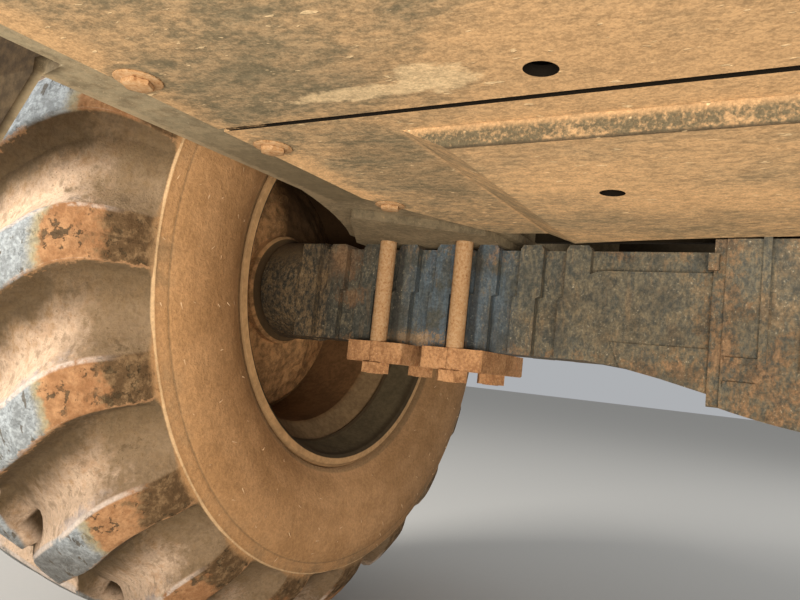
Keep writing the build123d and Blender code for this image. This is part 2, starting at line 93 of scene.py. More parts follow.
class Tap:
    # A socket of a material's node tree; a sum written with taps adds Math or Vector Math nodes
    def __init__(self, tree, socket=None):
        self.tree = tree
        self.socket = socket

    def node(self, kind, settings=None, sockets=None, out=0):
        made = self.tree.nodes.new("ShaderNode" + kind)
        for name, value in (settings or {}).items():
            setattr(made, name, value)
        for name, value in (sockets or {}).items():
            self.feed(made.inputs[name], value)
        return Tap(self.tree, made.outputs[out])

    def feed(self, socket, value):
        if isinstance(value, Tap):
            self.tree.links.new(value.socket, socket)
        elif socket.type == "RGBA" and len(value) == 3:
            socket.default_value = (*value, 1)
        else:
            socket.default_value = value

    def maths(self, operation, first, second):
        isVector = any(isinstance(v, tuple) or isinstance(v, Tap) and v.socket.type == "VECTOR"
                       for v in (first, second))
        kind = "VectorMath" if isVector else "Math"
        return self.node(kind, {"operation": operation}, {0: first, 1: second})

    def __add__(self, other):
        return self.maths("ADD", self, other)

    def __radd__(self, other):
        return self.maths("ADD", other, self)

    def __sub__(self, other):
        return self.maths("SUBTRACT", self, other)

    def __rsub__(self, other):
        return self.maths("SUBTRACT", other, self)

    def __mul__(self, other):
        return self.maths("MULTIPLY", self, other)

    def __rmul__(self, other):
        return self.maths("MULTIPLY", other, self)

    def __truediv__(self, other):
        return self.maths("DIVIDE", self, other)

    def __pow__(self, other):
        return self.maths("POWER", self, other)

    def __abs__(self):
        return self.node("Math", {"operation": "ABSOLUTE"}, {0: self})

    def larger(self, other):
        return self.maths("MAXIMUM", self, other)


def rise(value, low, high):                       # 0 below low, 1 above high, soft between
    settings = {"interpolation_type": "SMOOTHSTEP"}
    return value.node("MapRange", settings, {"Value": value, "From Min": low, "From Max": high})


def fall(value, low, high):                       # 1 below low, 0 above high
    return 1 - rise(value, low, high)


def blend(share, first, second):
    return share.node("Mix", {"data_type": "RGBA"}, {0: share, 6: first, 7: second}, out=2)


def grain(place, size, detail=4.0, rough=0.6, distort=0.0):
    sockets = {"Vector": place, "Scale": 1 / size, "Detail": detail, "Roughness": rough, "Distortion": distort}
    return place.node("TexNoise", {}, sockets)


def parts(place):
    return [place.node("SeparateXYZ", {}, {0: place}, out=n) for n in range(3)]


def normals(tap):
    return parts(tap.node("TexCoord", out=1))


def distance(across, along):
    return (across ** 2 + along ** 2) ** 0.5


def union(masks):
    return reduce(Tap.larger, masks)


def patch(place, middle, reach, ragged=0.35, size=0.03):
    # Soft-edged blot on a level surface about a middle point, with a ragged rim
    x, y, z = parts(place - middle)
    away = distance(x / reach[0], y / reach[1])
    return fall(away + (grain(place, size, 5) - 0.5) * ragged * 4, 0.75, 1.15)


def bump(height, depth, strength=1.0):
    return height.node("Bump", {}, {"Height": height, "Distance": depth, "Strength": strength})


def newFinish(name):
    material = bpy.data.materials.new(name)
    material.use_nodes = True
    tap = Tap(material.node_tree)
    place = tap.node("TexCoord", out=3)             # metres in the part's own frame
    return material, tap, place


def setShader(material, colour, rough, normal=None, specular=0.12):
    tap = Tap(material.node_tree)
    shader = material.node_tree.nodes["Principled BSDF"]
    for name, value in (("Base Color", colour), ("Roughness", rough), ("Normal", normal)):
        if value is not None:
            tap.feed(shader.inputs[name], value)
    shader.inputs["Specular IOR Level"].default_value = specular
    return material


# Tyres: the outline of one half from the crown to the bead, millimetres from the wheel's
# centre plane and from its axis, and the lugs that stand on it
tyre = {
    "tips": ((0, 588), (60, 586), (120, 580), (150, 569), (175, 552), (195, 532), (215, 508), (227, 490), (235, 464)),
    "carcass": ((0, 557), (80, 553), (130, 544), (165, 525), (190, 500), (215, 474), (235, 463)),
    "wall": ((235, 463), (243, 443), (248.5, 425), (250, 407), (248.5, 385), (243, 358), (233, 330), (217.5, 305)),
    "bead": ((216.5, 301.5), (203.4, 300.8), (203.4, 286.8)),
    "crownReach": 235, "crownRows": 42, "wallRows": 22,
    "lugs": 19, "phase": -1.0, "halfWidth": 3.3,              # degrees, like the lugs' turn about the hub
    "turn": ((-40, -14.2), (0, -11.4), (30, -9.3), (68, -6.8), (100, -5.0), (122, -3.7), (140, -2.4), (158, -1.1),
             (172, -0.3), (184, 0.2), (196, 0.4), (210, 0.4), (235, 0.1)),
    "pocketReach": 42, "pocketAbove": 48, "pocketDepth": 15, "pocketRound": 5,  # deep gaps between the lugs' noses
    "upperFlank": 38, "lowerFlank": 13, "upperCurve": 1.7, "lowerCurve": 1.3,
    "edgeRound": 3, "edgeWear": 0.05, "noseEnd": -8, "noseFlank": 9,
    # Columns across one lug and the valley above it, degrees from the lug's middle
    "columns": (-4.9, -4.3, -3.7, -3.4, -3.1, -1.6, 0, 1.6, 3.1, 3.4, 3.7, 4.4, 5.5, 7.0, 9.0, 11.4),
    "ring": (462.6, 1.5, 1.3), "groove": (446, -1.2, 1.6),      # radius, height and half width
    "fineRings": ((431, 0.4, 1.5), (392, 0.3, 1.5), (352, 0.5, 3), (324, 0.5, 6), (312, -0.6, 2)),
    "closeRows": (462.0, 459.5, 457, 448.5, 446, 443.5), "ringLean": (0.9, 0.35),   # share across and outwards
    "markedTo": (-40, 80), "middleRadius": 0.57,      # reach of the marks beside the lugs; metres for one radian
    # Wear: noise size per metre and height in metres; the cuts have a threshold too
    "waves": ((14, 0.0016), (45, 0.0006)), "cuts": (38, 0.32, 0.012), "cutShift": (7, 3, 1),
    "wallWear": 0.25, "beadRadius": 0.31,
}


def curveThrough(points, x):
    xs, ys = zip(*points)
    return np.interp(x, xs, ys)


def turnAt(t, q):
    # The lugs' turn in degrees, softened between the points that give it
    return sum(curveThrough(t["turn"], q + shift) for shift in (-10, 0, 10)) / 3


def softStep(value):
    t = np.clip(value, 0, 1)
    return t * t * (3 - 2 * t)


def lugShare(t, half, across, angle):
    # Height from 0 in the valleys to 1 on a half's lugs, and the millimetres by which
    # a point lies above a lug's upper edge or below its lower edge
    q = across * half
    pitch = 360 / t["lugs"]
    turn = turnAt(t, q)
    slope = np.radians(turnAt(t, q + 5) - turnAt(t, q - 5)) / 10
    radius = curveThrough(t["tips"], np.abs(across))
    scale = np.radians(1) * radius / np.sqrt(1 + (slope * radius) ** 2)
    phase = t["phase"] + (pitch / 2 if half > 0 else 0)
    fromEdge = (angle - phase - turn + t["halfWidth"]) % pitch
    width = 2 * t["halfWidth"]
    onTop = fromEdge <= width
    above = np.where(fromEdge > pitch - 1e-6, 0, fromEdge - width) * scale
    under = np.where(onTop, -fromEdge, pitch - fromEdge) * scale
    upper = np.clip(1 - above / t["upperFlank"], 0, 1) ** t["upperCurve"]
    lower = np.clip(1 - under / t["lowerFlank"], 0, 1) ** t["lowerCurve"]
    worn = np.exp(-(np.minimum(np.abs(above), np.abs(under)) / t["edgeRound"]) ** 2) * t["edgeWear"]
    share = np.where(onTop, 1, np.maximum(upper, lower)) - worn
    nose = softStep((q - t["noseEnd"]) / t["noseFlank"] + 1)
    return np.clip(share, 0, 1) * nose, above, under


def wallCurve(points, count, steps=20, crowding=1.25):
    # Smooth line through the sidewall's points, with rows a little closer at the shoulder
    knots = [Vector((a, b)) for a, b in points]
    dense = []
    for n in range(len(knots) - 1):
        before, after = knots[max(n - 1, 0)], knots[min(n + 2, len(knots) - 1)]
        a, b = knots[n], knots[n + 1]
        for k in range(steps):
            f = k / steps
            dense.append(0.5 * (2 * a + (b - before) * f + (2 * before - 5 * a + 4 * b - after) * f ** 2
                                + (3 * a - before - 3 * b + after) * f ** 3))
    dense.append(knots[-1])
    run = np.concatenate([[0], np.cumsum([(q - p).length for p, q in zip(dense, dense[1:])])])
    spaced = run[-1] * np.linspace(0, 1, count) ** crowding
    return np.interp(spaced, run, [p.x for p in dense]), np.interp(spaced, run, [p.y for p in dense])


def tyreMesh(t, body):
    hub = hubs[body]
    sx = 1 if hub.x > 0 else -1
    pitch = 360 / t["lugs"]
    columns = np.array(sorted(c % pitch for first in t["columns"] for c in (first, first + pitch / 2)))
    columns = (columns[None, :] + pitch * np.arange(t["lugs"])[:, None]).ravel()
    count = len(columns)
    wallX, wallR = wallCurve(t["wall"], t["wallRows"])
    # Closer rows at the ring and the groove
    extra = np.array(t["closeRows"])
    wallX = np.concatenate([wallX, np.interp(extra, wallR[::-1], wallX[::-1])])
    wallR = np.concatenate([wallR, extra])
    order = np.argsort(-wallR)
    wallX, wallR = wallX[order], wallR[order]
    lift = np.zeros_like(wallR)
    for radius, height, width in (t["ring"], t["groove"], *t["fineRings"]):
        lift += height * np.exp(-((wallR - radius) / width) ** 2)
    crown = np.linspace(0, t["crownReach"], t["crownRows"])
    beadX, beadR = zip(*t["bead"])
    # Rows of one half: distance from the centre plane, radius off the lugs, lift of the sidewall's rings
    halfX = np.concatenate([crown, wallX[1:], beadX])
    halfR = np.concatenate([curveThrough(t["carcass"], crown), wallR[1:], beadR])
    halfLift = np.concatenate([np.zeros_like(crown), lift[1:], np.zeros(len(beadX))])
    rows = [(-1, n) for n in range(len(halfX) - 1, 0, -1)] + [(1, n) for n in range(len(halfX))]
    across = np.array([s * halfX[n] for s, n in rows])[:, None] + np.zeros(count)
    base = np.array([halfR[n] for s, n in rows])[:, None] + np.zeros(count)
    raised = np.array([halfLift[n] for s, n in rows])[:, None]
    onCrown = np.array([n < len(crown) for s, n in rows])[:, None]
    turn = turnAt(t, np.abs(across))
    angle = t["phase"] + turn + columns[None, :]
    share = np.zeros_like(angle)
    above = np.zeros_like(angle)
    under = np.zeros_like(angle)
    for half in (-1, 1):
        one, up, down = lugShare(t, half, across, angle)
        one = np.where(onCrown, one, 0)
        own = across * half >= 0
        above = np.where(own, up, above)
        under = np.where(own, down, under)
        share = np.maximum(share, one)
    inside = (t["pocketReach"] - np.abs(across)) / t["pocketRound"]
    pocket = softStep(inside) * softStep((t["pocketAbove"] - above) / t["pocketRound"]) * (above > 0) * onCrown
    base = base - t["pocketDepth"] * pocket * (share < 0.9)
    tips = np.where(onCrown, curveThrough(t["tips"], np.abs(across)), base)
    radius = base + (tips - base) * share
    leanAcross, leanOut = t["ringLean"]
    radians = np.radians(angle)
    x = hub.x * 1000 + sx * (across + np.sign(across) * raised * leanAcross)
    radius = radius + raised * leanOut
    y = -radius * np.cos(radians)
    z = hub.z * 1000 + radius * np.sin(radians)
    points = np.stack([x, y, z], axis=-1).reshape(-1, 3) / 1000
    marks = {
        "lug": share, "pocket": pocket, "around": radians * t["middleRadius"],
        "reach": np.where(onCrown, np.abs(across) / t["crownReach"], 1.2),
        "above": np.clip(above, *t["markedTo"]) / 1000, "under": np.clip(under, *t["markedTo"]) / 1000,
    }
    return points, rows, count, marks


def buildTyre(t, body, name):
    points, rows, count, marks = tyreMesh(t, body)
    hub = hubs[body]
    # Worn and pitted rubber: each point moves in or out a little
    cutScale, cutFrom, cutDepth = t["cuts"]
    shift = Vector(t["cutShift"])
    worn = []
    for p, top, out in zip(points, marks["lug"].ravel(), marks["reach"].ravel()):
        v = Vector(p)
        soft = sum(noise.noise(v * scale) * height for scale, height in t["waves"])
        cuts = max(0, noise.noise(v * cutScale + shift) - cutFrom) * cutDepth * top
        worn.append((soft - cuts) * (1 if out < 0.99 else t["wallWear"]))
    radial = points - np.array([hub.x, hub.y, hub.z])
    flat = radial.copy()
    flat[:, 0] = 0
    length = np.linalg.norm(flat, axis=1)[:, None]
    offBead = (length > t["beadRadius"]).astype(float)
    points = points + flat / length * np.array(worn)[:, None] * offBead
    total = len(rows)
    mesh = bpy.data.meshes.new(name)
    ring = np.arange(count)
    follow = (ring + 1) % count
    faces = []
    for n in range(total):
        m = (n + 1) % total
        faces.append(np.stack([n * count + ring, n * count + follow, m * count + follow, m * count + ring], axis=1))
    faces = np.concatenate(faces)
    mesh.from_pydata(points.tolist(), [], faces.tolist())
    for label, values in marks.items():
        mesh.attributes.new(label, "FLOAT", "POINT").data.foreach_set("value", values.ravel().astype(np.float32))
    made = bpy.data.objects.new(name, mesh)
    bpy.context.scene.collection.objects.link(made)
    tidyMesh(made)
    return made


def tidyMesh(made, angle=None):
    # Outward normals and smooth faces, with edges sharper than the angle kept
    work = bmesh.new()
    work.from_mesh(made.data)
    bmesh.ops.recalc_face_normals(work, faces=work.faces)
    for face in work.faces:
        face.smooth = True
    if angle:
        for edge in work.edges:
            edge.smooth = len(edge.link_faces) == 2 and edge.calc_face_angle(0) < math.radians(angle)
    work.to_mesh(made.data)
    work.free()


def newPiece(name, work, material, body, angle=35):
    mesh = bpy.data.meshes.new(name)
    work.to_mesh(mesh)
    work.free()
    made = bpy.data.objects.new(name, mesh)
    bpy.context.scene.collection.objects.link(made)
    tidyMesh(made, angle)
    made.data.materials.append(material)
    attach(made, body)
    return made


def addTurned(work, outline, turn, steps=24, flats=0):
    # Solid turned about Z from (radius, height) points; flats gives its number of flat sides
    rings = []
    for radius, height in outline:
        ring = []
        for n in range(steps):
            a = 2 * math.pi * n / steps
            reach = radius
            if flats:
                side = math.pi / flats
                reach = radius / math.cos((a + side) % (2 * side) - side)
            ring.append(work.verts.new(turn @ Vector((reach * math.cos(a), reach * math.sin(a), height))))
        rings.append(ring)
    for below, above in zip(rings, rings[1:]):
        for n in range(steps):
            m = (n + 1) % steps
            work.faces.new((below[n], below[m], above[m], above[n]))
    work.faces.new(rings[0][::-1])
    work.faces.new(rings[-1])


def facing(place, axis, spin=0.0):
    # Frame whose Z runs along an axis from a place
    turn = Vector(axis).to_track_quat("Z", "Y").to_matrix().to_4x4()
    return Matrix.Translation(Vector(place)) @ turn @ Matrix.Rotation(spin, 4, "Z")


def addBolt(work, place, axis, bolt, spin=0.0):
    # Washer, hexagon head and the thread that stands out of it
    turn = facing(place, axis, spin)
    r, h = bolt.get("washer", (0, 0))
    bevel, lap = 0.001, 0.0006
    if r:
        addTurned(work, ((r - bevel, -0.0005), (r, lap), (r, h - lap), (r - bevel, h)), turn)
    flat, height = bolt["flats"] / 2, bolt["height"]
    e = flat * 0.08
    addTurned(work, ((flat - e, h - 0.0002), (flat, h + e), (flat, h + height - e), (flat - 2 * e, h + height)),
              turn, 36, 6)
    if bolt.get("thread"):
        rt, ht = bolt["thread"]
        pitch = 0.0022
        top = h + height
        rings = [(rt, top - bevel)]
        for n in range(int(ht / pitch)):
            rings += [(rt, top + pitch * n), (rt * 0.9, top + pitch * n + pitch / 2)]
        rings += [(rt, top + ht - bevel), (rt - 0.0012, top + ht)]
        addTurned(work, rings, turn, 20)


def shaded(tap, colour, value, low, high):
    # Colour made darker and lighter by a value from 0 to 1
    level = value * (high - low) + low
    grey = tap.node("CombineColor", {}, {0: level, 1: level, 2: level})
    return tap.node("Mix", {"data_type": "RGBA", "blend_type": "MULTIPLY"}, {0: 1.0, 6: colour, 7: grey}, out=2)


# Finishes. Each dictionary holds what a user would change: linear colours, and sizes and places in metres
belly = {
    "paint": (0.205, 0.165, 0.098), "worn": (0.35, 0.25, 0.14), "dust": (0.60, 0.37, 0.18),
    "pale": (0.78, 0.57, 0.32), "dark": (0.075, 0.058, 0.036), "wall": (0.13, 0.105, 0.062),
    "holeShade": (0.006, 0.004, 0.002),
    "blots": 0.11, "smears": 0.022, "fine": 0.006, "specks": 0.0022, "grit": 0.0035,
    "slit": -0.5665, "edge": 0.562, "drains": ((0.25, -0.606), (0.255, -0.381)), "drainRadius": 0.0125,
    "panRear": -0.528, "panSide": 0.396, "bare": 0.43,          # bare: a strip that holds less dust
    "boltX": 0.542, "boltY": (-0.830, -0.674, -0.518, -0.298),
    # Middle and reach of the pale scuffs and of the olive shade between the pan and the rail
    "scuffs": (((-0.322, -0.614, -0.256), (0.030, 0.022)), ((-0.385, -0.604, -0.256), (0.065, 0.011))),
    "shade": (((-0.445, -0.42, -0.256), (0.06, 0.10)), ((0.44, -0.44, -0.256), (0.06, 0.09))),
}


def bellyFinish(f):
    material, tap, place = newFinish("bellyDust")
    x, y, z = parts(place)
    faceX, faceY, faceZ = normals(tap)
    side = abs(x)
    along = place * (0.55, 1.0, 1.0)
    blots = grain(along, f["blots"], 7, 0.62, 0.4)
    smears = grain(along, f["smears"], 6, 0.7)
    fine = grain(place * (0.6, 1.0, 1.0), f["fine"], 4, 0.7)
    specks = grain(place, f["specks"], 3, 0.7)
    colour = blend(rise(smears * 0.55 + fine * 0.45, 0.40, 0.60), f["paint"], f["worn"])
    # Dust lies along the edges, beside the slit, round the drain holes and in the middle
    nearEdge = rise(side, f["edge"] - 0.05, f["edge"] - 0.005) * 0.22
    nearSlit = fall(abs(y - f["slit"]), 0.002, 0.045) * 0.12
    bare = fall(abs(side - f["bare"]), 0.02, 0.06) * rise(y, -0.54, -0.50) * 0.12
    settle = nearEdge.larger(nearSlit) + fall(side, 0.08, 0.45) * 0.15 - bare
    gap = fall(abs(y - f["slit"]), 0.005, 0.007)
    for dx, dy in f["drains"]:
        away = distance(side - dx, y - dy)
        settle = settle.larger(fall(away, 0.01, 0.2) * 0.2)
        gap = gap.larger(fall(away, f["drainRadius"], f["drainRadius"] + 0.001))
    dusty = rise(blots * 0.6 + smears * 0.2 + fine * 0.2 + settle, 0.43, 0.75)
    colour = blend(dusty * 0.95, colour, f["dust"])
    for middle, reach in f["scuffs"]:
        colour = blend(patch(place, middle, reach, 0.4, 0.012) * 0.7, colour, f["pale"])
    # Rear wall of the pan: darker, rubbed by grit, with a dark line along its foot
    wall = rise(faceY * -1.0, 0.5, 0.8) * fall(abs(y - f["panRear"]), 0.004, 0.01)
    grit = grain(place, f["grit"], 4, 0.7)
    wallColour = blend(rise(grit * 0.5 + smears * 0.5, 0.46, 0.62) * 0.7, f["wall"], f["dust"])
    wallColour = blend(rise(z, -0.2625, -0.257) * 0.6, wallColour, f["dust"])
    colour = blend(wall, colour, wallColour)
    foot = fall(abs(y - f["panRear"] - 0.001), 0.0009, 0.0022) * fall(z, -0.2736, -0.2715)
    colour = blend(foot * 0.85, colour, f["dark"])
    # Pale line where the pan's sloping side starts
    crease = fall(abs(side - f["panSide"]), 0.001, 0.004) * rise(y, f["panRear"] - 0.002, f["panRear"] + 0.003)
    colour = blend(crease * 0.5, colour, f["dust"])
    olive = union(patch(place, middle, reach, 0.4, 0.02) for middle, reach in f["shade"])
    colour = blend(olive * 0.36, colour, f["wall"])
    # Marks that the washers have left round the bolts
    rings = []
    for by in f["boltY"]:
        away = distance(side - f["boltX"], y - by)
        rings.append(rise(away, 0.016, 0.018) * fall(away + (fine - 0.5) * 0.02, 0.022, 0.029))
    colour = blend(union(rings) * 0.6, colour, f["paint"])
    chips = rise(grain(place * (0.7, 1.6, 1.0), 0.011, 2, 0.5), 0.69, 0.72)
    colour = blend(chips * 0.75, colour, f["pale"])
    dark = rise(grain(place * (0.5, 1.0, 1.0), 0.012, 6, 0.75), 0.54, 0.68) * (1 - dusty * 0.45)
    colour = blend(dark * 0.2, colour, f["dark"])
    colour = shaded(tap, colour, rise(specks * 0.6 + fine * 0.4, 0.35, 0.65), 0.74, 1.26)
    # Painted light: the plates darker at the rear and brighter towards the front
    colour = shaded(tap, colour, rise(y, -0.64, -0.36), 0.80, 1.14)
    # Painted shade, near black, on the walls of the slit and of the drain holes
    inward = fall(abs(faceZ), 0.3, 0.5) * fall(side, 0.553, 0.557) * gap
    colour = blend(inward, colour, f["holeShade"])
    height = specks * 0.3 + fine * 0.3 + dusty * 0.5 + chips * 0.5
    return setShader(material, colour, 0.75 + dusty * 0.2, bump(height, 0.001, 0.7))


wheelShade = (0.020, 0.011, 0.005)
steel = {
    "frame": {
        "paint": (0.29, 0.22, 0.13), "shade": (0.18, 0.14, 0.085), "dust": (0.52, 0.35, 0.18),
        "rust": (0.32, 0.18, 0.08), "spark": (0.55, 0.42, 0.26), "blots": 0.05, "mottle": 0.009, "specks": 0.003,
        "dustShare": 0.45, "rustShare": 0.25, "rough": 0.85,
        "oilAndShade": (0.016, 0.009, 0.004), "oilyMudAndShade": (0.045, 0.027, 0.012), "inside": (0.016, 0.010, 0.005),
        "flangeDust": (0.42, 0.36, 0.23), "flangeShade": (0.115, 0.090, 0.052), "flangeEdge": (0.46, 0.34, 0.20),
    },
    "clamp": {
        "paint": (0.56, 0.30, 0.135), "shade": (0.31, 0.15, 0.065), "dust": (0.72, 0.46, 0.26),
        "rust": (0.46, 0.19, 0.07), "spark": (0.85, 0.62, 0.42), "blots": 0.03, "mottle": 0.005, "specks": 0.0017,
        "dustShare": 0.5, "rustShare": 0.4, "rough": 0.9,
        "stud": (0.39, 0.22, 0.10), "studPale": (0.45, 0.285, 0.15), "studPits": (0.22, 0.10, 0.04),
        "plateTop": -0.4165,
    },
    "hub": {
        "paint": (0.60, 0.31, 0.125), "shade": (0.26, 0.14, 0.06), "dust": (0.72, 0.42, 0.19),
        "rust": (0.36, 0.18, 0.07), "spark": (0.75, 0.52, 0.30), "blots": 0.04, "mottle": 0.014, "specks": 0.003,
        "dustShare": 0.5, "rustShare": 0.3, "rough": 0.9,
        "greaseAndShadow": (0.085, 0.056, 0.029), "drumRadius": 0.1003, "drumFace": 0.9308,
    },
    "machined": {
        "paint": (0.32, 0.29, 0.26), "shade": (0.18, 0.15, 0.12), "dust": (0.42, 0.30, 0.18),
        "rust": (0.27, 0.12, 0.05), "spark": (0.5, 0.45, 0.4), "blots": 0.03, "mottle": 0.006, "specks": 0.002,
        "dustShare": 0.35, "rustShare": 0.3, "rough": 0.5,
    },
}
axle = {
    "slate": (0.070, 0.070, 0.056), "blue": (0.080, 0.108, 0.128), "olive": (0.150, 0.120, 0.072),
    "brown": (0.185, 0.120, 0.062), "rust": (0.225, 0.125, 0.060), "spark": (0.44, 0.37, 0.25),
    "dark": (0.048, 0.043, 0.032), "carrier": (0.185, 0.118, 0.056), "dust": (0.42, 0.27, 0.14),
    "greaseAndShadow": (0.014, 0.012, 0.009),
    "padTop": -0.26, "underside": -0.417, "flange": 0.19, "studs": (0.5345, 0.6655),
    # Rust and dust that have caught on the left arm: middle and reach across and up
    "stains": (((-0.762, -0.285), (0.030, 0.030)), ((-0.742, -0.345), (0.022, 0.014)),
               ((-0.80, -0.30), (0.010, 0.030))),
    "dusty": ((-0.612, -0.405), (0.050, 0.011)),
}


def spots(place, f, shift=(0.0, 0.0, 0.0)):
    # Blots, mottling and specks: three sizes of the same grain
    moved = place + shift
    return grain(moved, f["blots"], 6, 0.65), grain(moved, f["mottle"], 5, 0.7), grain(moved, f["specks"], 3, 0.75)


def steelFinish(name, f):
    material, tap, place = newFinish(name)
    blots, mottle, specks = spots(place, f)
    colour = blend(rise(mottle * 0.6 + blots * 0.4, 0.40, 0.60), f["shade"], f["paint"])
    dusty = rise(blots * 0.5 + mottle * 0.5, 0.72 - 0.3 * f["dustShare"], 0.84 - 0.3 * f["dustShare"])
    colour = blend(dusty * 0.8, colour, f["dust"])
    other = spots(place, f, (3.0, 1.0, 2.0))
    rusty = rise(other[0] * 0.6 + other[1] * 0.4, 0.70 - 0.3 * f["rustShare"], 0.74 - 0.3 * f["rustShare"])
    colour = blend(rusty * 0.7, colour, f["rust"])
    # Dust on what faces up
    colour = blend(rise(normals(tap)[2], 0.3, 0.8) * 0.75, colour, f["dust"])
    colour = blend(rise(specks, 0.62, 0.70) * 0.6, colour, f["spark"])
    colour = blend(fall(specks, 0.30, 0.38) * 0.5, colour, f["shade"])
    return material, tap, place, colour, specks * 0.4 + mottle * 0.7 + dusty * 0.3


def plainFinish(name, f):
    material, tap, place, colour, height = steelFinish(name, f)
    return setShader(material, colour, f["rough"], bump(height, 0.0012, 0.9))


def wheelShadeShare(place, ragged, front, inner):
    # Painted shade on the front upper quarter of a wheel, on the side that faces the machine
    x, y, z = parts(place)
    return rise(y + (ragged - 0.5) * 0.09, *front) * rise(z, hubZ + 0.05, hubZ + 0.10) * fall(abs(x), *inner)


def hubFinish(f):
    # Mud on the flange and the nuts, dark grease on the drum beside the axle
    material, tap, place, colour, height = steelFinish("hubMud", f)
    x, y, z = parts(place)
    drum = (fall(distance(y, z - hubZ), f["drumRadius"], f["drumRadius"] + 0.0012)
            * fall(abs(x), f["drumFace"], f["drumFace"] + 0.001))
    colour = blend(drum * 0.92, colour, f["greaseAndShadow"])
    # Painted shade, near black, on the front upper quarter of what faces the machine
    wet = wheelShadeShare(place, grain(place, 0.03, 6, 0.7), (-0.04, 0.012), (0.990, 1.0))
    colour = blend(wet * 0.88, colour, wheelShade)
    return setShader(material, colour, f["rough"], bump(height, 0.002, 0.9))


def clampFinish(f):
    # Rust with pale grains on the plates and nuts; the studs are smoother and tan
    material, tap, place, colour, height = steelFinish("rustySteel", f)
    specks = grain(place, 0.004, 4, 0.7)
    stud = blend(rise(specks, 0.45, 0.6), f["stud"], f["studPale"])
    stud = blend(fall(specks, 0.34, 0.42) * 0.8, stud, f["studPits"])
    smooth = rise(parts(place)[2], f["plateTop"], f["plateTop"] + 0.0005)
    colour = blend(smooth, colour, stud)
    return setShader(material, colour, f["rough"], bump(height * (1.2 - smooth), 0.0022, 1.0))


def frameFinish(f):
    # Dusty paint; the stays behind the wheels are near black, painted shade over oil and old mud
    material, tap, place, colour, height = steelFinish("framePaint", f)
    x, y, z = parts(place)
    fine = grain(place, 0.02, 5, 0.7)
    # Painted shade with oil and old mud on the stays
    stay = fall(y, -0.70, -0.685) * rise(abs(x), 0.60, 0.61)
    colour = blend(stay, colour, blend(rise(fine, 0.4, 0.65), f["oilAndShade"], f["oilyMudAndShade"]))
    # Painted shade, near black, inside the frame over the axle and in front of it
    inside = rise(y, -0.115, -0.10) * fall(abs(x), 0.4665, 0.468) * fall(y, 0.588, 0.590) * fall(z, -0.016, -0.012)
    colour = blend(inside * 0.88, colour, f["inside"])
    # Rails' flanges beside the belly plates: dust at the rear, darker towards the axle, paler along the edge
    flange = fall(z, -0.247, -0.245) * rise(abs(x), 0.555, 0.557) * fall(y, -0.30, -0.28) * (1 - stay)
    front = rise(y + (fine - 0.5) * 0.2, -0.60, -0.42)
    colour = blend(flange * (1 - front) * rise(fine, 0.35, 0.6) * 0.3, colour, f["flangeDust"])
    colour = blend(flange * front * 0.65, colour, f["flangeShade"])
    colour = blend(flange * rise(abs(x) + (fine - 0.5) * 0.03, 0.628, 0.634) * 0.3, colour, f["flangeEdge"])
    # Rear edge of the seat plates: painted shade, as dark as the belly behind it
    edge = fall(normals(tap)[1], -0.8, -0.6) * rise(y, -0.30, -0.29)
    colour = shaded(tap, colour, edge, 1.0, 0.55)
    return setShader(material, colour, f["rough"], bump(height, 0.0009, 0.8), 0.05)


